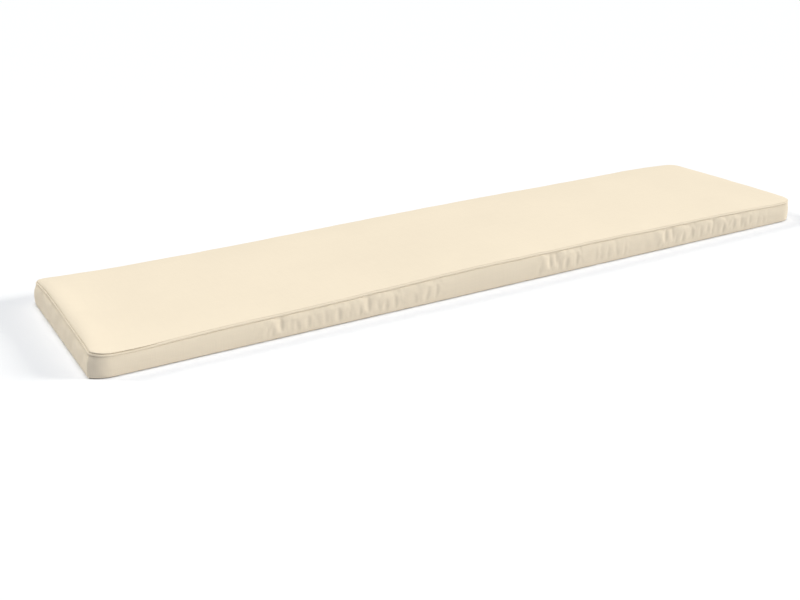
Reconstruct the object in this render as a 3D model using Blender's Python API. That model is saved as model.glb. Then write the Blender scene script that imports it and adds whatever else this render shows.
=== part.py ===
"""Bench cushion: a long boxed seat cushion with a round piping sewn into its top edge.

Metres, +Z up.  The cushion lies flat, its bottom panel on Z = 0, its length along X, its front
towards -Y, and the middle of its footprint at the origin.

The filled body starts as a unit block of grid faces.  Its outermost grid lines become rings
that follow the rounded outline: up the boxing, through the groove that holds the piping, and
over the rolled edge of the top panel.  The lines inside them become the crowned top panel.
"""

import bmesh
import bpy
from math import cos, pi, radians, sin

# Overall sizes, at the widest part of the boxing.
LENGTH = 1.800
DEPTH = 0.430
CORNER_RADIUS = 0.026

# Piping: a cord in a bias strip, seen as a round edge.
PIPING_DIAMETER = 0.0055
PIPING_SIDES_STEP = 2       # bevel resolution of the round section, eight sides
PIPING_SETBACK = 0.0012     # from the top of the boxing inwards to the cord's middle
PIPING_RISE = 0.0029        # from the top of the boxing up to the cord's middle
GROOVE_RADIUS = 0.0034      # groove round the cord, 0.3 mm clear of it on its flat facets
GROOVE_ANGLES = (-112, -157, 158, 115)   # degrees round the cord, from below it to above it

# Top panel: how far its rolled edge rises above the cord's middle, and its crown.
ROLL_ROWS = (
    # inwards from the cord, rise
    (0.0045, 0.0041),
    (0.0110, 0.0053),
)
ROLL_RISE = 0.0058
CROWN_RISE = 0.0035
CROWN_FLATNESS = 8          # high power: the crown falls off close to the two ends only

# Boxing: it leans in towards the top seam, by a different amount on each side.
FRONT_LEAN = 0.0030
REAR_LEAN = 0.0030
LEFT_LEAN = 0.0070
RIGHT_LEAN = 0.0050
DRAWN_IN = 0.0015           # how much further the seam is pulled in at the middle of a side
BOXING_ROWS = (
    # share of the seam's height, share of the lean, share of a pucker's depth
    (0.08, 0.10, 0.0),
    (0.24, 0.00, 0.2),
    (0.44, 0.12, 0.5),
    (0.64, 0.38, 0.9),
    (0.84, 0.72, 1.0),
    (1.00, 1.00, 0.0),
)

# Bottom panel: its edge turns under to the flat face that the cushion lies on.
BOTTOM_ROWS = (
    # inwards from the widest outline, height
    (0.0020, 0.0012),
    (0.0055, 0.0000),
)

# Height of the seam between boxing and piping.  The filling is thinner at the left end.
SEAM_ROWS = (
    # from the left end, height at the front, height at the rear
    (0.00, 0.0405, 0.0405),
    (0.05, 0.0372, 0.0400),
    (0.10, 0.0368, 0.0390),
    (0.17, 0.0395, 0.0386),
    (0.25, 0.0414, 0.0388),
    (0.40, 0.0424, 0.0396),
    (0.60, 0.0467, 0.0424),
    (0.80, 0.0510, 0.0458),
    (1.00, 0.0509, 0.0485),
    (1.15, 0.0513, 0.0496),
    (1.30, 0.0496, 0.0504),
    (1.50, 0.0490, 0.0516),
    (1.65, 0.0465, 0.0526),
    (1.74, 0.0440, 0.0500),
    (1.80, 0.0438, 0.0448),
)
LEFT_RISE = 0.0075          # how much higher the seam stands behind the middle of the left end
RIGHT_RISE = 0.0058         # the same along most of the right end
END_FADE = 0.12             # how far from the end that rise reaches

# Main puckers of the boxing, short upright troughs where its cloth is gathered into the seam.
PUCKERS = (
    # from the left end, width, depth at the front, depth at the rear
    (0.350, 0.020, 0.0022, 0.0008),
    (0.400, 0.018, 0.0012, 0.0000),
    (0.482, 0.016, 0.0012, 0.0010),
    (0.540, 0.020, 0.0025, 0.0000),
    (0.604, 0.018, 0.0012, 0.0012),
    (0.690, 0.024, 0.0014, 0.0000),
    (1.000, 0.024, 0.0014, 0.0010),
    (1.050, 0.026, 0.0014, 0.0000),
    (1.190, 0.030, 0.0015, 0.0012),
    (1.340, 0.020, 0.0022, 0.0000),
    (1.410, 0.026, 0.0015, 0.0010),
    (1.490, 0.020, 0.0014, 0.0008),
    (1.560, 0.026, 0.0014, 0.0000),
    (1.630, 0.018, 0.0014, 0.0008),
)

# How finely the straight sides are divided between the puckers.
LONG_STEP = 0.050
END_STEP = 0.048

# Colours, linear, read from the cream cotton.
COVER_COLOUR = (0.86, 0.77, 0.61)
PIPING_COLOUR = (0.84, 0.75, 0.59)

LEFT_X = -LENGTH / 2
CORE_X = LENGTH / 2 - CORNER_RADIUS      # half length of the straight front and rear
CORE_Y = DEPTH / 2 - CORNER_RADIUS       # half length of the straight ends

# Rings of the top, from the boxing's top edge in to the middles of the corner arcs.
RINGS = 1 + len(GROOVE_ANGLES) + len(ROLL_ROWS)


def clear_scene():
    for thing in list(bpy.data.objects):
        bpy.data.objects.remove(thing, do_unlink=True)


def cloth_material(name, colour):
    """Matt woven cotton in one colour."""
    material = bpy.data.materials.new(name)
    material.use_nodes = True
    shader = material.node_tree.nodes["Principled BSDF"]
    shader.inputs["Base Color"].default_value = (*colour, 1.0)
    shader.inputs["Roughness"].default_value = 0.9
    shader.inputs["Metallic"].default_value = 0.0
    return material


def smooth_read(rows, place, column):
    """Read a table's column at a place between its rows, along a smooth curve."""
    last = len(rows) - 1
    after = next((k for k in range(1, last) if rows[k][0] >= place), last)
    before = after - 1

    def slope(k):
        low, high = max(k - 1, 0), min(k + 1, last)
        return (rows[high][column] - rows[low][column]) / (rows[high][0] - rows[low][0])

    span = rows[after][0] - rows[before][0]
    t = min(max((place - rows[before][0]) / span, 0.0), 1.0)
    start, end = rows[before][column], rows[after][column]
    return (start * (2 * t**3 - 3 * t**2 + 1) + end * (3 * t**2 - 2 * t**3)
            + span * (slope(before) * (t**3 - 2 * t**2 + t) + slope(after) * (t**3 - t**2)))


def seam_height(x, y):
    """Height of the boxing's top seam, carried on smoothly between the sides."""
    from_left = x - LEFT_X
    from_front = min(max(y / DEPTH + 0.5, 0.0), 1.0)
    front = smooth_read(SEAM_ROWS, from_left, 1)
    rear = smooth_read(SEAM_ROWS, from_left, 2)
    near_left = max(0.0, 1.0 - from_left / END_FADE) ** 2
    near_right = max(0.0, 1.0 - (LENGTH - from_left) / END_FADE) ** 2
    rise = (LEFT_RISE * near_left * sin(pi * from_front ** 1.5)
            + RIGHT_RISE * near_right * max(sin(pi * from_front), 0.0) ** 0.5)
    return front + (rear - front) * from_front + rise


def crown(x, y):
    """Rise of the filled top panel between its edges."""
    across = 1.0 - (2 * y / DEPTH) ** 2
    along = 1.0 - (2 * x / LENGTH) ** CROWN_FLATNESS
    return CROWN_RISE * across * along


def lean(x, y, normal):
    """How far the top seam stands in from the widest outline, on the side that faces normal."""
    along_x = 1.0 - (2 * x / LENGTH) ** 2
    along_y = 1.0 - (2 * y / DEPTH) ** 2
    long_side = (FRONT_LEAN if normal[1] < 0 else REAR_LEAN) + DRAWN_IN * along_x
    end_side = (LEFT_LEAN if normal[0] < 0 else RIGHT_LEAN) + DRAWN_IN * along_y
    return normal[1] ** 2 * long_side + normal[0] ** 2 * end_side


def pucker_depth(x, normal):
    """Depth of the troughs at a place on the front or the rear, full at their middles."""
    if abs(normal[1]) < 1.0:
        return 0.0
    column = 2 if normal[1] < 0 else 3
    from_left = x - LEFT_X
    return sum(row[column] * max(0.0, 1.0 - abs(from_left - row[0]) * 2 / row[1])
               for row in PUCKERS)


def even_places(half, step):
    """Places from -half to half, no further apart than step."""
    count = int(2 * half / step) + 1
    return [-half + 2 * half * k / count for k in range(count + 1)]


def with_pucker_places(places):
    """Add each pucker's two edges and its middle, and drop the places that they crowd."""
    edges = [(LEFT_X + row[0] - row[1] / 2, LEFT_X + row[0] + row[1] / 2) for row in PUCKERS]
    crowd = LONG_STEP / 4
    kept = [x for x in places
            if not any(low - crowd < x < high + crowd for low, high in edges)]
    extra = [x for low, high in edges for x in (low, (low + high) / 2, high)]
    return sorted(kept + extra)


EVEN_X = even_places(CORE_X, LONG_STEP)
PLACES_X = with_pucker_places(EVEN_X)
PLACES_Y = even_places(CORE_Y, END_STEP)


def overhang(index, places):
    """How many rings a grid line lies outside the straight part, negative before it."""
    return min(index - RINGS, 0) + max(index - RINGS - (len(places) - 1), 0)


def station(i, j, places_x=PLACES_X, places_y=PLACES_Y):
    """Where a grid point belongs: its place on the inner rectangle, its normal and its ring.

    On a straight side the normal is the side's own.  In a corner the grid's square block of
    lines is turned into arcs: the diagonal of the block becomes the middle of the arc.
    """
    core = (places_x[min(max(i - RINGS, 0), len(places_x) - 1)],
            places_y[min(max(j - RINGS, 0), len(places_y) - 1)])
    over_x, over_y = overhang(i, places_x), overhang(j, places_y)
    reach = max(abs(over_x), abs(over_y))
    if reach == 0:
        return core, (0.0, 0.0), RINGS
    turn = radians(45) * min(abs(over_x), abs(over_y)) / reach
    major, minor = cos(turn), sin(turn)
    share_x, share_y = (minor, major) if abs(over_y) >= abs(over_x) else (major, minor)
    sign_x = -1 if over_x < 0 else 1
    sign_y = -1 if over_y < 0 else 1
    return core, (sign_x * share_x, sign_y * share_y), RINGS - reach


def inset_point(core, normal, inset):
    """The point that lies this far in from the widest outline."""
    out = CORNER_RADIUS - inset
    return core[0] + normal[0] * out, core[1] + normal[1] * out


def piping_centre(core, normal):
    """The middle of the cord at a station, and the lean of the boxing there."""
    edge = inset_point(core, normal, 0.0)
    side_lean = lean(*edge, normal)
    x, y = inset_point(core, normal, side_lean + PIPING_SETBACK)
    return x, y, seam_height(x, y) + PIPING_RISE, side_lean


def boxing_point(core, normal, row):
    """A point of the boxing, on one of its rows."""
    height_share, lean_share, pucker_share = BOXING_ROWS[row]
    x, y, cord_height, side_lean = piping_centre(core, normal)
    inset = side_lean * lean_share + pucker_depth(core[0], normal) * pucker_share
    return *inset_point(core, normal, inset), (cord_height - PIPING_RISE) * height_share


def top_point(core, normal, ring):
    """A point of the top: the groove round the cord, the rolled edge, or the crowned panel."""
    if ring == RINGS:
        rise = PIPING_RISE + ROLL_RISE + crown(*core)
        return *core, seam_height(*core) + rise
    _, _, cord_height, side_lean = piping_centre(core, normal)
    cord_inset = side_lean + PIPING_SETBACK
    groove_ring = ring - 1
    if groove_ring < len(GROOVE_ANGLES):
        angle = radians(GROOVE_ANGLES[groove_ring])
        inset = cord_inset - GROOVE_RADIUS * cos(angle)
        return *inset_point(core, normal, inset), cord_height + GROOVE_RADIUS * sin(angle)
    inwards, rise = ROLL_ROWS[groove_ring - len(GROOVE_ANGLES)]
    x, y = inset_point(core, normal, cord_inset + inwards)
    return x, y, cord_height + rise + crown(x, y)


def bottom_point(core, normal, ring):
    """A point of the bottom panel, turned under at its edge and flat inside it."""
    inset, height = BOTTOM_ROWS[min(ring, len(BOTTOM_ROWS)) - 1]
    flat_rings = RINGS - len(BOTTOM_ROWS)
    inset += (CORNER_RADIUS - inset) * max(ring - len(BOTTOM_ROWS), 0) / flat_rings
    return *inset_point(core, normal, inset), height


def block_of_faces(bm, columns, rows, layers):
    """A unit block with this many faces along X, Y and Z."""
    bmesh.ops.create_grid(bm, x_segments=columns, y_segments=rows, size=0.5)
    grown = bmesh.ops.extrude_face_region(bm, geom=bm.faces[:])["geom"]
    raised = [part for part in grown if isinstance(part, bmesh.types.BMVert)]
    bmesh.ops.translate(bm, verts=raised, vec=(0, 0, 1))
    upright = [edge for edge in bm.edges if abs(edge.verts[0].co.z - edge.verts[1].co.z) > 0.5]
    bmesh.ops.subdivide_edges(bm, edges=upright, cuts=layers - 1)


def merge_flat_bottom(bm):
    """Make the flat of the bottom panel one face, cut into even triangles."""
    flat = [face for face in bm.faces if max(vert.co.z for vert in face.verts) < 1e-6]
    whole = bmesh.ops.dissolve_faces(bm, faces=flat, use_verts=True)["region"]
    bmesh.ops.triangulate(bm, faces=whole, ngon_method="BEAUTY")


def make_body():
    """The filled cushion: top panel, boxing and bottom panel round one filling."""
    columns = len(PLACES_X) - 1 + 2 * RINGS
    rows = len(PLACES_Y) - 1 + 2 * RINGS
    layers = len(BOXING_ROWS) - 1
    bm = bmesh.new()
    block_of_faces(bm, columns, rows, layers)
    for vert in bm.verts:
        i, j = round((vert.co.x + 0.5) * columns), round((vert.co.y + 0.5) * rows)
        layer = round(vert.co.z * layers)
        core, normal, ring = station(i, j)
        if ring == 0:
            vert.co = boxing_point(core, normal, layer)
        elif layer == layers:
            vert.co = top_point(core, normal, ring)
        else:
            vert.co = bottom_point(core, normal, ring)
    merge_flat_bottom(bm)
    bmesh.ops.recalc_face_normals(bm, faces=bm.faces)
    mesh = bpy.data.meshes.new("cushion_body")
    bm.to_mesh(mesh)
    bm.free()
    mesh.shade_smooth()
    mesh.set_sharp_from_angle(angle=radians(50))
    return mesh


def outline_stations():
    """Stations once round the outline, without the puckers' extra ones."""
    last_i = len(EVEN_X) - 1 + 2 * RINGS
    last_j = len(PLACES_Y) - 1 + 2 * RINGS
    front = [(i, 0) for i in range(last_i)]
    right = [(last_i, j) for j in range(last_j)]
    rear = [(i, last_j) for i in range(last_i, 0, -1)]
    left = [(0, j) for j in range(last_j, 0, -1)]
    return [station(i, j, EVEN_X, PLACES_Y) for i, j in front + right + rear + left]


def make_piping():
    """The piping: one closed round cord along the top edge, clear of its groove."""
    curve = bpy.data.curves.new("piping_top", "CURVE")
    curve.dimensions = "3D"
    curve.bevel_depth = PIPING_DIAMETER / 2
    curve.bevel_resolution = PIPING_SIDES_STEP
    path = [piping_centre(core, normal)[:3] for core, normal, _ in outline_stations()]
    spline = curve.splines.new("POLY")
    spline.points.add(len(path) - 1)
    for point, place in zip(spline.points, path):
        point.co = (*place, 1.0)
    spline.use_cyclic_u = True
    spline.use_smooth = True
    return curve


def add_object(name, data, material):
    data.materials.append(material)
    thing = bpy.data.objects.new(name, data)
    bpy.context.scene.collection.objects.link(thing)
    return thing


clear_scene()
add_object("cushion_body", make_body(), cloth_material("cream_cotton_cover", COVER_COLOUR))
add_object("piping_top", make_piping(), cloth_material("cream_cotton_piping", PIPING_COLOUR))
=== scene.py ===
"""Bench cushion: a long boxed seat cushion in cream cotton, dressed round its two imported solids.

Metres, +Z up.  The cushion lies flat, its length along X, its front towards -Y, and the middle of
its footprint at the origin.
"""

from math import cos, pi, radians, sin

import bmesh
import bpy
import numpy as np
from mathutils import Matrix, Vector
from mathutils.kdtree import KDTree


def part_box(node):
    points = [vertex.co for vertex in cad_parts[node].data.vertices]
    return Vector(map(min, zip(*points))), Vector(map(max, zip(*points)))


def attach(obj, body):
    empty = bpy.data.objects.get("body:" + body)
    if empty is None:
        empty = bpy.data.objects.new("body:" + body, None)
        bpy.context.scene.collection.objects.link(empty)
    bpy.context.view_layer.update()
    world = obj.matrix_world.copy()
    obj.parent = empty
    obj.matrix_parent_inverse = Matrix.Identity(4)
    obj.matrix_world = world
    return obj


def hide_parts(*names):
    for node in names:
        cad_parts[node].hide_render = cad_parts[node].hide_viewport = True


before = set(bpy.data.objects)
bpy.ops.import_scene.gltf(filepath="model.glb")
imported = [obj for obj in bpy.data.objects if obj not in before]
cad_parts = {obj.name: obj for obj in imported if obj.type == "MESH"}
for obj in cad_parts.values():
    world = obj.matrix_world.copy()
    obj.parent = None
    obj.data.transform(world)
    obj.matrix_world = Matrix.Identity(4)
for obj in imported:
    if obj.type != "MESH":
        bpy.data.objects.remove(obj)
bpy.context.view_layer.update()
scene = bpy.context.scene


# ---------------------------------------------------------------------------------------------
# Cover.  A top panel, a boxing strip and a bottom panel of plain-woven cream cotton, sewn inside
# out and turned over a slab of soft foam.  The boxing is a little longer than the seam that it is
# sewn into, so it is gathered there and puckers.  The filling is thinner at the left end.
# ---------------------------------------------------------------------------------------------
low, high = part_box("cushion_body")
length = high.x - low.x
depth = high.y - low.y
corner_reach = 0.048           # how far a corner reaches along the two sides that meet in it
corner_radii = {
    # (left or right, front or rear): the radius next to the end and the one next to the long
    # side, of the cushion's foot and then of its top seam
    (-1, -1): ((0.003, 0.058), (0.010, 0.054)),
    (1, -1): ((0.024, 0.056), (0.026, 0.056)),
    (1, 1): ((0.026, 0.026), (0.028, 0.028)),
    (-1, 1): ((0.018, 0.022), (0.020, 0.024)),
}

piping_radius = 0.00275
piping_setback = 0.0012        # from the top of the boxing inwards to the middle of the piping
piping_rise = 0.0029           # from the top of the boxing up to the middle of the piping
piping_air = 0.00012           # between the piping and the cloth that is drawn tight round it
piping_step = 0.003            # between the piping's places along a side
corner_steps = 25              # of the piping round a corner

# The seam between boxing and piping: from the left end, height at the front, height at the rear.
seam_rows = np.array([
    (0.00, 0.0405, 0.0405),
    (0.05, 0.0372, 0.0400),
    (0.10, 0.0368, 0.0390),
    (0.17, 0.0395, 0.0386),
    (0.25, 0.0414, 0.0388),
    (0.40, 0.0424, 0.0396),
    (0.60, 0.0467, 0.0430),
    (0.80, 0.0510, 0.0466),
    (1.00, 0.0509, 0.0493),
    (1.15, 0.0513, 0.0505),
    (1.30, 0.0496, 0.0504),
    (1.50, 0.0490, 0.0516),
    (1.65, 0.0465, 0.0526),
    (1.74, 0.0440, 0.0500),
    (1.80, 0.0438, 0.0448),
])
# The seam rises along the left end, from one corner to the other: share of the way from the front
# to the rear, rise.  Along the right end it rises by the same amount nearly everywhere.
left_rise_rows = np.array([
    (0.00, 0.0000),
    (0.17, 0.0052),
    (0.38, 0.0062),
    (0.62, 0.0105),
    (0.82, 0.0095),
    (1.00, 0.0000),
])
right_rise = 0.0038
end_fade = 0.12                # how far from an end its rise reaches
# How far the boxing leans in between its widest outline and the seam.
front_lean, rear_lean = 0.0030, 0.0030
left_lean, right_lean = 0.0070, 0.0050
drawn_in = 0.0015              # how much further the seam is pulled in at the middle of a side
right_fullness = 0.0055        # how much further out the right end is filled
# Cloth that is fed under the needle by hand: the seam wavers by a quarter of a millimetre.
seam_waver = 0.00013
waver_lengths = (0.013, 0.0217)

# Where the cloth runs before it is filled: up the boxing, round the back of the piping, and over
# the rolled edge of the top panel.
boxing_rows = (
    # share of the seam's height, share of the lean
    (0.04, 0.10),
    (0.14, 0.02),
    (0.26, 0.00),
    (0.39, 0.01),
    (0.52, 0.06),
    (0.65, 0.16),
    (0.77, 0.32),
    (0.88, 0.56),
    (0.96, 0.80),
)
groove_radius = 0.0029         # of the cloth's way round the piping
groove_angles = (-30, -112, -170, 142, 84)   # degrees round it, from below it to above it
left_crease = -20              # the first of them is this much lower along the left end,
front_crease = 14              # this much higher at the front where the panel is creased,
panel_crease = 28              # and the last this much further back wherever it is creased
front_overhang = 0.0026        # how much further the creased panel hangs over the piping there
roll_rows = (
    # inwards from the piping and rise above its middle, where the panel leaves it smoothly, and
    # the same where there is a crease between them
    (0.0020, 0.0034, -0.0008, 0.0041),
    (0.0050, 0.0044, 0.0012, 0.0061),
    (0.0098, 0.0051, 0.0068, 0.0067),
    (0.0180, 0.0056, 0.0170, 0.0063),
)
creased = np.array([
    # from the left end, how much of a crease there is
    (0.10, 1.0),
    (0.15, 0.0),
    (1.70, 0.0),
    (1.80, 0.5),
])
top_rise = 0.0057              # the flat of the top panel above the piping's middle, before filling
bottom_rows = (
    # inwards from the widest outline, height
    (0.0013, 0.0009),
    (0.0038, 0.0000),
)
rings = len(groove_angles) + len(roll_rows)   # of the grid, from the boxing in to the top's flat

# How finely the cover's grid is divided, between the corners.
plain_step = 0.012             # along the front and the rear
gathered_step = 0.0040         # and near a gather of the front
least_strength = 0.25          # that is stronger than this
lines_across = 27              # from the front to the rear

# Gathers of the boxing: each is a shallow trough, one flank of it steeper than the other.
front_gathers = (
    # mm from the left end, width in mm, strength, middle as a share of the height, slant in mm
    (331, 8, 0.3, 0.45, 0),
    (341, 8, 0.4, 0.55, 0),
    (358, 12, 1.3, 0.64, 3),
    (392, 12, 0.7, 0.40, -2),
    (415, 8, 0.4, 0.55, 3),
    (453, 9, 0.3, 0.50, 0),
    (481, 12, 0.7, 0.50, 1),
    (528, 10, 0.5, 0.55, 6),
    (546, 12, 1.1, 0.60, 2),
    (586, 12, 0.7, 0.45, 1),
    (608, 9, 0.4, 0.55, 0),
    (652, 10, 0.2, 0.35, 4),
    (684, 12, 0.6, 0.50, 8),
    (706, 10, 0.4, 0.55, 6),
    (973, 12, 0.2, 0.50, 0),
    (1001, 12, 1.4, 0.64, 0),
    (1019, 8, 0.4, 0.80, 0),
    (1047, 12, 1.0, 0.45, 0),
    (1077, 10, 0.5, 0.55, 1),
    (1130, 14, 0.2, 0.50, 0),
    (1170, 12, 0.4, 0.50, 1),
    (1218, 14, 0.4, 0.50, 2),
    (1285, 16, 0.2, 0.40, 0),
    (1347, 13, 1.5, 0.64, 1),
    (1369, 9, 0.4, 0.75, 0),
    (1403, 13, 0.9, 0.38, -1),
    (1436, 10, 0.5, 0.55, -1),
    (1463, 12, 0.4, 0.50, 0),
    (1486, 13, 0.8, 0.60, -3),
    (1504, 8, 0.5, 0.80, 0),
    (1541, 13, 0.9, 0.38, -2),
    (1577, 12, 0.7, 0.55, 2),
    (1603, 12, 0.3, 0.50, 0),
    (1632, 14, 0.7, 0.58, -2),
    (1684, 12, 0.3, 0.40, -8),
)
left_gathers = (
    # mm from the front end of the side, and on as above
    (48, 14, 0.3, 0.50, 3),
    (74, 14, 0.5, 0.55, 3),
    (98, 12, 0.3, 0.50, 3),
    (121, 16, 0.4, 0.50, 3),
    (146, 12, 0.3, 0.60, 4),
    (168, 15, 0.7, 0.55, 4),
    (201, 12, 0.3, 0.50, 4),
    (233, 16, 0.6, 0.50, 4),
    (262, 12, 0.3, 0.55, 3),
    (287, 15, 0.6, 0.55, 3),
    (316, 12, 0.3, 0.50, 3),
    (341, 14, 0.5, 0.50, 3),
    (379, 12, 0.4, 0.50, 2),
)
rear_gathers = (
    (214, 14, 0.5, 0.55, -2),
    (243, 12, 0.3, 0.50, 2),
    (377, 14, 0.7, 0.60, 2),
    (408, 12, 0.4, 0.50, 0),
    (562, 13, 0.6, 0.50, -3),
    (640, 14, 0.3, 0.55, 0),
    (757, 13, 0.8, 0.60, 2),
    (789, 12, 0.5, 0.45, 0),
    (823, 12, 0.3, 0.60, 3),
    (1012, 14, 0.6, 0.50, -2),
    (1094, 13, 0.3, 0.55, 0),
    (1187, 13, 0.8, 0.60, 3),
    (1216, 12, 0.5, 0.50, -2),
    (1322, 14, 0.3, 0.50, 0),
    (1398, 13, 0.7, 0.55, 2),
    (1431, 12, 0.4, 0.45, 0),
    (1533, 14, 0.5, 0.60, -3),
    (1629, 13, 0.6, 0.50, 2),
)
right_gathers = (
    (83, 14, 0.5, 0.55, 2),
    (112, 13, 0.3, 0.50, 0),
    (196, 15, 0.4, 0.50, -3),
    (271, 14, 0.6, 0.60, 2),
    (302, 12, 0.3, 0.45, 0),
    (356, 14, 0.4, 0.55, 3),
)
trough_depth = 0.0020          # of a gather of strength 1, before the cover is filled
trough_reach = 0.31            # of the boxing's height, from a trough's middle to where it ends
gentle_flank, steep_flank = 0.65, 0.35   # of a trough's width, before and after its middle
slack = 0.030                  # share by which the gathered boxing is longer than its seam
slack_reach = 0.022            # how far from a gather its cloth is still slack

# Filling.  The pressure stands for the foam's push on the cover.
foam_pressure = 4.0
fill_frames = 20               # in which the cover takes up its shape
most_bulge = 0.0040            # no point of the cover moves further than this


def smooth_read(rows, column, places):
    """Read a table's column at these places, along a smooth curve through its rows."""
    at, value = rows[:, 0], rows[:, column]
    slope = np.gradient(value, at)
    k = np.clip(np.searchsorted(at, places) - 1, 0, len(at) - 2)
    span = at[k + 1] - at[k]
    t = np.clip((places - at[k]) / span, 0, 1)
    return (value[k] * (2 * t**3 - 3 * t**2 + 1) + value[k + 1] * (3 * t**2 - 2 * t**3)
            + span * (slope[k] * (t**3 - 2 * t**2 + t) + slope[k + 1] * (t**3 - t**2)))


def seam_height(x, y):
    """Height of the boxing's top seam, carried on smoothly between the sides."""
    from_left = x + length / 2
    from_front = y / depth + 0.5
    front = smooth_read(seam_rows, 1, from_left)
    rear = smooth_read(seam_rows, 2, from_left)
    near_left = np.clip(1 - from_left / end_fade, 0, 1)**2
    near_right = np.clip(1 - (length - from_left) / end_fade, 0, 1)**2
    at_left = smooth_read(left_rise_rows, 1, from_front)
    at_right = right_rise * np.sin(pi * np.clip(from_front, 0, 1))**0.5
    return front + (rear - front) * from_front + at_left * near_left + at_right * near_right


def corner_shape(radii, share):
    """A corner's outline and its normal, at shares of the way from the end to the long side.

    The outline is given as how far out it lies along X and Y, in corner_reach.  It runs straight
    on along the end, round an arc of the first radius, round one of the second, and straight.
    """
    turn = np.radians(np.arange(91.0))
    radius = np.where(turn < radians(45), *radii)
    along_end = np.append(0, np.cumsum(radius[:-1] * np.diff(np.sin(turn)))) / corner_reach
    along_side = np.append(0, np.cumsum(radius[:-1] * -np.diff(np.cos(turn)))) / corner_reach
    out_x = np.concatenate(([1.0], 1 - along_side, [0.0]))
    out_y = np.concatenate(([0.0], 1 - along_end[-1] + along_end, [1.0]))
    turn = np.concatenate(([0.0], turn, [pi / 2]))
    # Places lie closest together where the outline turns most.
    walked = np.hypot(np.diff(out_x), np.diff(out_y)) + np.diff(turn)
    walked = np.append(0, np.cumsum(walked))
    share = share * walked[-1]
    return tuple(np.interp(share, walked, column) for column in (out_x, out_y, turn))


def inset_point(core, shape, inset):
    """The point that lies this far in from the widest outline."""
    out = corner_reach - inset
    return core[0] + shape[0] * out, core[1] + shape[1] * out


def piping_middle(core, shape, normal):
    """The middle of the piping beside a place of the outline, and the lean of the boxing there."""
    x, y = inset_point(core, shape, 0.0)
    long_lean = (np.where(normal[1] < 0, front_lean, rear_lean)
                 + drawn_in * (1 - (2 * x / length)**2))
    end_lean = (np.where(normal[0] < 0, left_lean, right_lean)
                + drawn_in * (1 - (2 * y / depth)**2))
    lean = normal[1]**2 * long_lean + normal[0]**2 * end_lean
    x, y = inset_point(core, shape, lean + piping_setback)
    waver = seam_waver * (np.sin((x + y) / waver_lengths[0])
                          + np.sin((x + y) / waver_lengths[1] + 2))
    return x, y, seam_height(x, y) + piping_rise + waver, lean


def graded_places(half, gathers, fine, plain):
    """Places from -half to half, in fine steps near the gathers and in plain ones elsewhere."""
    places, at = [-half], -half
    while at < half:
        near = min(abs(at + step - middle) for middle in gathers for step in (0.0, plain))
        at += fine if near < slack_reach else plain
        places.append(at)
    return np.interp(places, (-half, at), (-half, half))


gathered = [row[0] / 1000 - length / 2 for row in front_gathers if row[2] > least_strength]
places_x = graded_places(length / 2 - corner_reach, gathered, gathered_step, plain_step)
# The right end is filled out a little more than the left one.
places_x += right_fullness * np.clip(places_x / length * 2, 0, 1)**4
places_y = np.linspace(corner_reach - depth / 2, depth / 2 - corner_reach, lines_across)
count_x, count_y = len(places_x) - 1, len(places_y) - 1
columns, rows = count_x + 2 * rings, count_y + 2 * rings
layers = len(boxing_rows)

# The block: a flat grid, drawn up into a box and divided into the rows of the boxing.
bpy.ops.object.select_all(action="DESELECT")
bpy.ops.mesh.primitive_grid_add(x_subdivisions=columns, y_subdivisions=rows, size=1)
cover = bpy.context.object
cover.name = cover.data.name = "cover"
bpy.ops.object.mode_set(mode="EDIT")
bpy.ops.mesh.extrude_region_move(TRANSFORM_OT_translate={"value": (0, 0, 1)})
bpy.ops.mesh.select_all(action="DESELECT")
bpy.ops.mesh.select_mode(type="EDGE")
bpy.ops.object.mode_set(mode="OBJECT")
upright = [edge.index for edge in cover.data.edges
           if abs(cover.data.vertices[edge.vertices[0]].co.z
                  - cover.data.vertices[edge.vertices[1]].co.z) > 0.5]
for index in upright:
    cover.data.edges[index].select = True
bpy.ops.object.mode_set(mode="EDIT")
bpy.ops.mesh.subdivide(number_cuts=layers - 1)
bpy.ops.object.mode_set(mode="OBJECT")


def read_points(mesh):
    """A mesh's points, one in a row."""
    points = np.empty(len(mesh.vertices) * 3, np.float32)
    mesh.vertices.foreach_get("co", points)
    return points.reshape(-1, 3).astype(float)


def write_points(mesh, points):
    """Put a mesh's points at these places."""
    mesh.vertices.foreach_set("co", points.astype(np.float32).ravel())
    mesh.update()


def put_in_order(mesh, order):
    """Put a mesh's points in this order, and its four-sided faces in the order of their points."""
    faces = np.argsort(order)[np.array([face.vertices[:] for face in mesh.polygons])]
    faces = faces[np.lexsort(np.sort(faces, axis=1).T[::-1])]
    ordered = bmesh.new()
    points = [ordered.verts.new(point) for point in read_points(mesh)[order]]
    for face in faces:
        ordered.faces.new([points[index] for index in face])
    ordered.to_mesh(mesh)
    ordered.free()


# Each point's place in the block.  The operators leave points and faces in an order that changes
# from run to run, and the cloth would fill a little differently with it, so it is made the same.
block = read_points(cover.data)
i = np.rint((block[:, 0] + 0.5) * columns).astype(int)
j = np.rint((block[:, 1] + 0.5) * rows).astype(int)
layer = np.rint(block[:, 2] * layers).astype(int)
order = np.lexsort((layer, j, i))
put_in_order(cover.data, order)
i, j, layer = i[order], j[order], layer[order]

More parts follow.
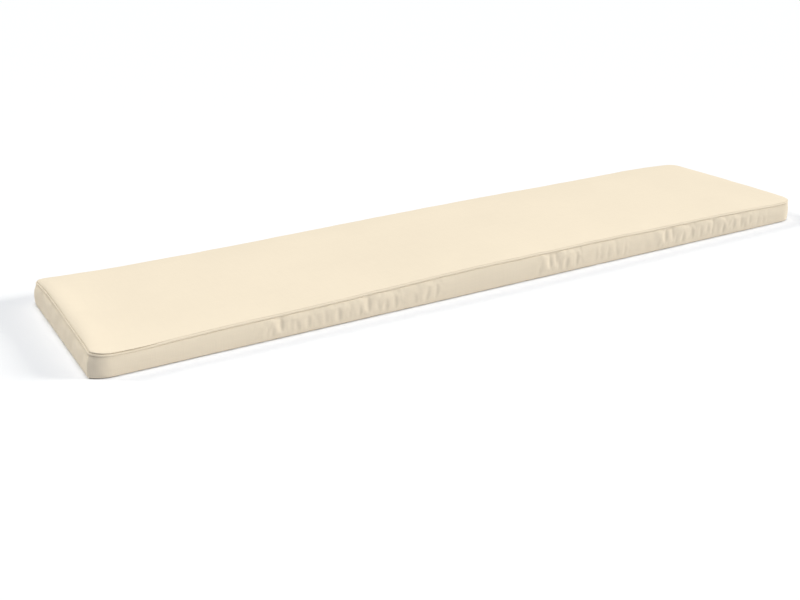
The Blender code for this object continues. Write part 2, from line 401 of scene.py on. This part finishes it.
# The place of the outline that each point belongs to.  The square of grid lines at a corner is
# turned into a round corner, its diagonal the middle of the round.
core = (places_x[np.clip(i - rings, 0, count_x)], places_y[np.clip(j - rings, 0, count_y)])
over_x = np.minimum(i - rings, 0) + np.maximum(i - rings - count_x, 0)
over_y = np.minimum(j - rings, 0) + np.maximum(j - rings - count_y, 0)
outmost = np.maximum(abs(over_x), abs(over_y))
ring = rings - outmost
share = (abs(over_y) - abs(over_x)) / np.maximum(outmost, 1) / 2 + 0.5
shape = np.stack([np.sign(over_x), np.sign(over_y)]).astype(float)
foot_shape, normal = shape.copy(), shape.copy()
for (sign_x, sign_y), (foot_radii, seam_radii) in corner_radii.items():
    here = (np.sign(over_x) == sign_x) & (np.sign(over_y) == sign_y)
    out_x, out_y, _ = corner_shape(foot_radii, share[here])
    foot_shape[:, here] = sign_x * out_x, sign_y * out_y
    out_x, out_y, turn = corner_shape(seam_radii, share[here])
    shape[:, here] = sign_x * out_x, sign_y * out_y
    normal[:, here] = sign_x * np.cos(turn), sign_y * np.sin(turn)

# The cover before it is filled.
middle_z, lean = piping_middle(core, shape, normal)[2:]
piping_in = lean + piping_setback
points = np.zeros_like(block)


def place(chosen, x, y, z):
    """Put the chosen points of the cover where these say."""
    points[chosen] = np.stack(np.broadcast_arrays(x, y, z), axis=-1)[chosen]


on_top, on_boxing, on_bottom = layer == layers, ring == 0, layer == 0
for k, (height_share, lean_share) in enumerate(boxing_rows):
    row_shape = foot_shape + (shape - foot_shape) * lean_share
    place(on_boxing & (layer == k), *inset_point(core, row_shape, lean * lean_share),
          (middle_z - piping_rise) * height_share)
crease = np.interp(inset_point(core, shape, 0.0)[0] + length / 2, *creased.T)
first_turn = (left_crease * np.clip(-normal[0], 0, 1)**2
              + front_crease * crease * np.clip(-normal[1], 0, 1)**2)
turns = {0: first_turn, len(groove_angles) - 1: panel_crease * crease}
for k, angle in enumerate(groove_angles):
    angle = np.radians(angle + turns.get(k, 0))
    place(on_top & (ring == k),
          *inset_point(core, shape, piping_in - groove_radius * np.cos(angle)),
          middle_z + groove_radius * np.sin(angle))
for k, (smooth_in, smooth_rise, creased_in, creased_rise) in enumerate(roll_rows):
    creased_in = creased_in - front_overhang * np.clip(-normal[1], 0, 1)**2 / (k + 1)
    place(on_top & (ring == k + len(groove_angles)),
          *inset_point(core, shape, piping_in + smooth_in + (creased_in - smooth_in) * crease),
          middle_z + smooth_rise + (creased_rise - smooth_rise) * crease)
place(on_top & (ring == rings), *core, seam_height(*core) + piping_rise + top_rise)
for k, (inset, height) in enumerate(bottom_rows):
    place(on_bottom & (ring == k + 1), *inset_point(core, foot_shape, inset), height)
flat = on_bottom & (ring > len(bottom_rows))

# Troughs, and how slack the boxing is near them.
slackness = np.zeros(len(points))
height_share = points[:, 2] / (middle_z - piping_rise)
sides = (
    # gathers, which way the side faces, and how far each point is from the left or front end
    (front_gathers, (0, -1), points[:, 0] + length / 2),
    (left_gathers, (-1, 0), points[:, 1] + depth / 2),
    (rear_gathers, (0, 1), points[:, 0] + length / 2),
    (right_gathers, (1, 0), points[:, 1] + depth / 2),
)
for gathers, facing, along in sides:
    side = on_boxing & (normal[0] == facing[0]) & (normal[1] == facing[1])
    inwards = np.zeros(len(points))
    for middle, width, strength, at_share, slant in gathers:
        off = along - middle / 1000 - slant / 1000 * (height_share - at_share)
        half = np.where(off < 0, gentle_flank, steep_flank) * width / 1000
        tall = np.clip(1 - ((height_share - at_share) / trough_reach)**2, 0, None)
        inwards = np.maximum(inwards, strength * trough_depth * tall * np.exp(-(off / half)**2))
        slackness = np.maximum(slackness, side * strength * np.exp(-(off / slack_reach)**2))
    slackness = np.minimum(slackness, 1)
    for axis in (0, 1):
        points[:, axis] -= side * facing[axis] * inwards
write_points(cover.data, points)

# Cloth that is sewn down doesn't move as the cover fills: the bottom, the foot of the boxing, and
# the cloth round the piping.
sewn = on_bottom | (on_boxing & (layer <= 1)) | (on_top & (ring <= len(groove_angles)))
sewn_group = cover.vertex_groups.new(name="sewn")
sewn_group.add(np.flatnonzero(sewn).tolist(), 1.0, "REPLACE")
taut_group = cover.vertex_groups.new(name="taut")
for index, value in enumerate(1 - slackness):
    taut_group.add([index], value, "REPLACE")

# The flat of the bottom panel is taken out now and closed again at the end.
bpy.ops.object.mode_set(mode="EDIT")
bpy.ops.mesh.select_all(action="DESELECT")
bpy.ops.object.mode_set(mode="OBJECT")
cover.data.vertices.foreach_set("select", flat)
bpy.ops.object.mode_set(mode="EDIT")
bpy.ops.mesh.select_mode(type="VERT")
bpy.ops.mesh.delete(type="VERT")
bpy.ops.object.mode_set(mode="OBJECT")

# The cloth's own coordinates, in metres: each panel is cut with its threads along X and Y, and the
# boxing with its threads along the strip and up it.
kept = ~flat
step_round = np.select([j == 0, i == columns, j == rows], [i, columns + j, 2 * columns + rows - i],
                       default=2 * columns + 2 * rows - j)
girth = np.flatnonzero(on_boxing & (layer == layers // 2))
girth = points[girth[np.argsort(step_round[girth])]]
strip_places = np.append(0, np.cumsum(np.linalg.norm(girth - np.roll(girth, -1, axis=0), axis=1)))
perimeter = strip_places[-1]
laid = points[kept]
corners = np.array([face.vertices[:] for face in cover.data.polygons])
is_boxing = (ring[kept][corners] == 0).all(axis=1)
strip = strip_places[step_round[kept]][corners]
strip = np.where((np.ptp(strip, axis=1, keepdims=True) > perimeter / 2) & (strip < perimeter / 2),
                 strip + perimeter, strip)
u = np.where(is_boxing[:, None], strip, laid[corners, 0])
v = np.where(is_boxing[:, None], laid[corners, 2], laid[corners, 1])
cloth_map = cover.data.uv_layers.new(name="cloth")
cloth_map.data.foreach_set("uv", np.stack([u, v], axis=-1).astype(np.float32).ravel())

before = read_points(cover.data)
filling = cover.modifiers.new("filling", "CLOTH")
filling.settings.vertex_group_mass = "sewn"
filling.settings.vertex_group_shrink = "taut"
filling.settings.shrink_min = -slack
filling.settings.shrink_max = 0.0
filling.settings.use_pressure = True
filling.settings.uniform_pressure_force = foam_pressure
filling.settings.effector_weights.gravity = 0
filling.collision_settings.use_collision = False
for step in range(1, fill_frames + 1):
    scene.frame_set(step)
bpy.ops.object.modifier_apply(modifier="filling")
scene.frame_set(1)
moved = read_points(cover.data) - before
distance = np.maximum(np.linalg.norm(moved, axis=1, keepdims=True), 1e-9)
held_back = most_bulge * np.tanh(distance / most_bulge) / distance
write_points(cover.data, before + moved * held_back)

# One subdivision gives the smooth cloth.
bpy.ops.object.modifier_add(type="SUBSURF")
smoothing = cover.modifiers[-1]
smoothing.levels = smoothing.render_levels = 1
bpy.ops.object.modifier_apply(modifier=smoothing.name)


def outline_places():
    """Places once round the outline, for the piping: their core points, shapes and normals."""
    half_x, half_y = places_x[-1], places_y[-1]
    straight_x = np.linspace(places_x[0], half_x, round(2 * half_x / piping_step) + 1)
    straight_y = np.linspace(-half_y, half_y, round(2 * half_y / piping_step) + 1)
    share = np.linspace(0, 1, corner_steps + 1)[1:-1]
    runs = []
    for sign_x, sign_y in ((1, -1), (1, 1), (-1, 1), (-1, -1)):
        # A side that faces across X or Y, walked anticlockwise, and the corner that it leads to.
        out_x, out_y, turn = corner_shape(corner_radii[sign_x, sign_y][1], share)
        end_x = half_x if sign_x > 0 else places_x[0]
        corner = np.stack([0 * share + end_x, 0 * share + sign_y * half_y, sign_x * out_x,
                           sign_y * out_y, sign_x * np.cos(turn), sign_y * np.sin(turn)])
        if sign_x * sign_y < 0:
            side = [straight_x[::sign_x], sign_y * half_y, 0, sign_y, 0, sign_y]
            corner = corner[:, ::-1]
        else:
            side = [end_x, sign_y * straight_y, sign_x, 0, sign_x, 0]
        runs += [np.stack(np.broadcast_arrays(*side)), corner]
    whole = np.hstack(runs)
    return whole[:2], whole[2:4], whole[4:]


# The cloth is drawn tight round the piping, and nothing of it hangs lower than the flat bottom.
outline_core, outline_shape, outline_normal = outline_places()
piping_path = np.stack(piping_middle(outline_core, outline_shape, outline_normal)[:3], axis=-1)
nearest = KDTree(len(piping_path))
for index, place_on_path in enumerate(piping_path):
    nearest.insert(place_on_path, index)
nearest.balance()
points = read_points(cover.data)
clear = piping_radius + piping_air
tangents = np.roll(piping_path, -1, axis=0) - np.roll(piping_path, 1, axis=0)
tangents /= np.linalg.norm(tangents, axis=1, keepdims=True)
for index, point in enumerate(points):
    _, found, gap = nearest.find(point)
    if gap > 2 * piping_radius:
        continue
    away = point - piping_path[found]
    away -= tangents[found] * (away @ tangents[found])
    reach = np.linalg.norm(away)
    if reach < clear:
        points[index] += away * (clear / reach - 1)
points[:, 2] = np.maximum(points[:, 2], 0.0)
write_points(cover.data, points)

# The bottom panel lies flat.
bpy.ops.object.mode_set(mode="EDIT")
bpy.ops.mesh.select_mode(type="EDGE")
bpy.ops.mesh.select_all(action="DESELECT")
bpy.ops.mesh.select_non_manifold()
bpy.ops.mesh.edge_face_add()
bpy.ops.mesh.quads_convert_to_tris(ngon_method="BEAUTY")
bpy.ops.mesh.select_all(action="SELECT")
bpy.ops.mesh.normals_make_consistent(inside=False)
bpy.ops.object.mode_set(mode="OBJECT")
bpy.ops.object.shade_smooth()


def srgb(code):
    """A colour's linear values from its hex code."""
    parts = [int(code[k:k + 2], 16) / 255 for k in (1, 3, 5)]
    return [part / 12.92 if part <= 0.04045 else ((part + 0.055) / 1.055)**2.4 for part in parts]


def add_node(tree, kind, settings=None, **links):
    """Add a node: its settings by name, and each input by name, given a value or an output."""
    node = tree.nodes.new(kind)
    for name, value in (settings or {}).items():
        setattr(node, name, value)
    for name, value in links.items():
        socket = node.inputs[int(name[1:]) if name[1:].isdigit() else name.replace("_", " ")]
        if isinstance(value, bpy.types.NodeSocket):
            tree.links.new(value, socket)
        else:
            socket.default_value = value
    return node


def woven_cotton(name, colour, thread_turn):
    """Plain-woven cotton of about 240 g/m2, washed and unbleached: matt, with a fine grain of
    crossing threads, faint slubs along them, and soft cloudy patches where it takes the light
    unevenly."""
    material = bpy.data.materials.new(name)
    material.use_nodes = True
    tree = material.node_tree
    shader = tree.nodes["Principled BSDF"]
    shader.inputs["Roughness"].default_value = 0.85
    shader.inputs["IOR"].default_value = 1.47          # cellulose fibre
    shader.inputs["Specular IOR Level"].default_value = 0.25
    shader.inputs["Sheen Weight"].default_value = 0.06   # the nap of the yarn
    shader.inputs["Sheen Roughness"].default_value = 0.5

    # The cloth map is in metres.  The real threads are about 0.6 mm apart, too fine for the
    # picture, so they are drawn 1.5 mm apart.
    thread_spacing = 0.0015
    cloth = add_node(tree, "ShaderNodeUVMap", {"uv_map": "cloth"}).outputs[0]
    threads = add_node(tree, "ShaderNodeMapping", Vector=cloth, Rotation=(0, 0, thread_turn),
                       Scale=(1 / thread_spacing, 1 / thread_spacing, 1)).outputs[0]
    # One turn of a wave texture is 2 pi / 20 long.  At this scale it spans two threads, because
    # in a plain weave a thread goes over one and under the next.
    over_and_under = 2 * pi / 20 / 2
    warp = add_node(tree, "ShaderNodeTexWave", {"bands_direction": "X"},
                    Vector=threads, Scale=over_and_under,
                    Distortion=0.6, Detail=1.0, Detail_Scale=0.4).outputs["Fac"]
    weft = add_node(tree, "ShaderNodeTexWave", {"bands_direction": "Y"},
                    Vector=threads, Scale=over_and_under,
                    Distortion=0.6, Detail=1.0, Detail_Scale=0.4).outputs["Fac"]
    weave = add_node(tree, "ShaderNodeMath", {"operation": "MULTIPLY"},
                     _0=warp, _1=weft).outputs[0]

    # Slubs: thicker stretches of yarn, up to 3 mm wide and 60 mm long, both ways.
    slub_width, slub_length = 0.003, 0.060
    along = add_node(tree, "ShaderNodeMapping", Vector=cloth,
                     Scale=(1 / slub_length, 1 / slub_width, 1)).outputs[0]
    slubs_along = add_node(tree, "ShaderNodeTexNoise", {"noise_dimensions": "2D"},
                           Vector=along, Scale=1.0, Detail=3.0).outputs["Fac"]
    across = add_node(tree, "ShaderNodeMapping", Vector=cloth,
                      Scale=(1 / slub_width, 1 / slub_length, 1)).outputs[0]
    slubs_across = add_node(tree, "ShaderNodeTexNoise", {"noise_dimensions": "2D"},
                            Vector=across, Scale=1.0, Detail=3.0).outputs["Fac"]
    slubs = add_node(tree, "ShaderNodeMath", {"operation": "ADD"},
                     _0=slubs_along, _1=slubs_across).outputs[0]

    # Cloudy patches, 180 mm across.
    patch_size = 0.18
    on_piece = add_node(tree, "ShaderNodeTexCoord").outputs["Object"]
    patches = add_node(tree, "ShaderNodeTexNoise", {"noise_dimensions": "3D"}, Vector=on_piece,
                       Scale=1 / patch_size, Detail=2.0, Roughness=0.4).outputs["Fac"]

    # From its darkest to its palest, the cloth changes by two per cent with the patches, by a
    # little more with the slubs, and by four with the weave.
    by_patch = add_node(tree, "ShaderNodeMapRange", Value=patches, From_Min=0.35, From_Max=0.65,
                        To_Min=0.990, To_Max=1.010).outputs[0]
    by_slub = add_node(tree, "ShaderNodeMapRange", Value=slubs, From_Min=0.7, From_Max=1.3,
                       To_Min=0.988, To_Max=1.012).outputs[0]
    by_weave = add_node(tree, "ShaderNodeMapRange", Value=weave,
                        To_Min=0.975, To_Max=1.015).outputs[0]
    shade = add_node(tree, "ShaderNodeMath", {"operation": "MULTIPLY"},
                     _0=by_patch, _1=by_slub).outputs[0]
    shade = add_node(tree, "ShaderNodeMath", {"operation": "MULTIPLY"},
                     _0=shade, _1=by_weave).outputs[0]
    colour = add_node(tree, "ShaderNodeVectorMath", {"operation": "SCALE"},
                      _0=srgb(colour), Scale=shade).outputs[0]
    tree.links.new(colour, shader.inputs["Base Color"])

    # The threads' relief is about a tenth of a millimetre, and the slubs' a third of that.
    height = add_node(tree, "ShaderNodeMath", {"operation": "MULTIPLY_ADD"},
                      _0=slubs, _1=0.5, _2=weave).outputs[0]
    bump = add_node(tree, "ShaderNodeBump", Strength=0.5, Distance=0.00012,
                    Height=height).outputs[0]
    tree.links.new(bump, shader.inputs["Normal"])
    return material


cover.data.materials.clear()
cover.data.materials.append(woven_cotton("woven_cotton_cover", "#E9DDCA", 0.0))
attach(cover, "root")
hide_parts("cushion_body")


# ---------------------------------------------------------------------------------------------
# Piping.  A cotton cord, 5.5 mm thick with its covering, in a strip of the same cloth cut on the
# bias, so its threads cross the cord slantwise.  It is sewn in between top panel and boxing.
# ---------------------------------------------------------------------------------------------
bias = radians(45)
unevenness = 0.03              # share of its radius by which the cord is thicker and thinner
uneven_lengths = (0.031, 0.0177)
bpy.ops.object.select_all(action="DESELECT")
bpy.ops.curve.primitive_bezier_circle_add()
piping = bpy.context.object
piping.name = piping.data.name = "piping"
piping.data.splines.clear()
run = piping.data.splines.new("POLY")
run.points.add(len(piping_path) - 1)
walked = np.cumsum(np.linalg.norm(np.diff(piping_path, axis=0, prepend=piping_path[-1:]), axis=1))
thickness = 1 + unevenness * (np.sin(walked / uneven_lengths[0])
                              + np.sin(walked / uneven_lengths[1] + 1)) / 2
run.points.foreach_set("co", np.hstack([piping_path, np.ones((len(piping_path), 1))]).ravel())
run.points.foreach_set("radius", thickness)
run.use_cyclic_u = True
run.use_smooth = True
piping.data.dimensions = "3D"
piping.data.twist_mode = "Z_UP"
piping.data.bevel_depth = piping_radius
piping.data.bevel_resolution = 4
bpy.ops.object.convert(target="MESH")

# Its cloth coordinates, in metres: along the cord and round it.
points_round = len(piping.data.vertices) // len(piping_path)
corners = np.array([face.vertices[:] for face in piping.data.polygons])
u = walked[corners // points_round]
v = 2 * pi * piping_radius * (corners % points_round) / points_round
for place_on_strip, whole in ((u, walked[-1]), (v, 2 * pi * piping_radius)):
    across_start = np.ptp(place_on_strip, axis=1, keepdims=True) > whole / 2
    place_on_strip += whole * (across_start & (place_on_strip < whole / 2))
cloth_map = piping.data.uv_layers.new(name="cloth")
cloth_map.data.foreach_set("uv", np.stack([u, v], axis=-1).astype(np.float32).ravel())

piping.data.materials.clear()
# The same cloth as the cover, with its colour made a little darker: painted shade on the piping.
piping.data.materials.append(woven_cotton("woven_cotton_on_the_bias", "#E7DBC8", bias))
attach(piping, "root")
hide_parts("piping_top")


# ---------------------------------------------------------------------------------------------
# Floor.  A plain studio floor of painted board, large enough to fill the picture to its top.  It
# lies a hair below the cushion, so that their faces don't share a plane.
# ---------------------------------------------------------------------------------------------
bpy.ops.object.select_all(action="DESELECT")
bpy.ops.mesh.primitive_plane_add(size=80, location=(0, 0, -0.0004))
floor = bpy.context.object
floor.name = "floor"
# Matt white paint: it scatters all light evenly, and is a little cool under the warm lights.
paint = bpy.data.materials.new("matt_white_paint")
paint.use_nodes = True
shader = paint.node_tree.nodes["Principled BSDF"]
shader.inputs["Base Color"].default_value = (*srgb("#EFF1F7"), 1)
shader.inputs["Roughness"].default_value = 0.9
shader.inputs["Specular IOR Level"].default_value = 0.1
floor.data.materials.append(paint)


# ---------------------------------------------------------------------------------------------
# Light.  Three wide soft lights: one overhead, one low at the front right that shows the gathers,
# and one behind the left end.  The surround gives little light, and is pale past the floor's edge.
# ---------------------------------------------------------------------------------------------
surround_given, surround_seen = 0.05, 1.1   # strength of the light it gives, and as it is seen


def add_light(name, turn, height, level, spread, colour):
    """A wide light, so many degrees round from the front to the right and so many up."""
    a, h = radians(turn), radians(height)
    from_there = Vector((sin(a) * cos(h), -cos(a) * cos(h), sin(h)))
    bpy.ops.object.light_add(type="SUN", rotation=from_there.to_track_quat("Z", "Y").to_euler())
    light = bpy.context.object
    light.name = name
    light.data.energy = level * pi
    light.data.angle = radians(spread)
    light.data.color = colour


add_light("overhead", 20, 86, 0.64, 36, (0.965, 0.985, 1.0))
add_light("front_right", 60, 22, 0.69, 18, (1.0, 0.96, 0.845))
add_light("left_rear", -134, 35, 0.44, 18, (1.0, 0.955, 0.82))
surround = bpy.data.worlds.new("surround")
surround.use_nodes = True
background = surround.node_tree.nodes["Background"]
background.inputs["Color"].default_value = (1.0, 0.98, 0.95, 1)
seen = add_node(surround.node_tree, "ShaderNodeLightPath").outputs["Is Camera Ray"]
strength = add_node(surround.node_tree, "ShaderNodeMapRange", Value=seen,
                    To_Min=surround_given, To_Max=surround_seen).outputs[0]
surround.node_tree.links.new(strength, background.inputs["Strength"])
scene.world = surround
scene.view_settings.view_transform = "Standard"   # a plain product picture, with no film look


# ---------------------------------------------------------------------------------------------
# Camera.  At the front left of the cushion, looking down on it, as the photograph was taken.
# ---------------------------------------------------------------------------------------------
bpy.ops.object.camera_add(location=(-1.2416, -1.8014, 0.7718),
                          rotation=(radians(90 - 21.98), 0, radians(-31.19)))
camera = bpy.context.object
camera.data.lens = 45.02
camera.data.sensor_width = 36
scene.camera = camera
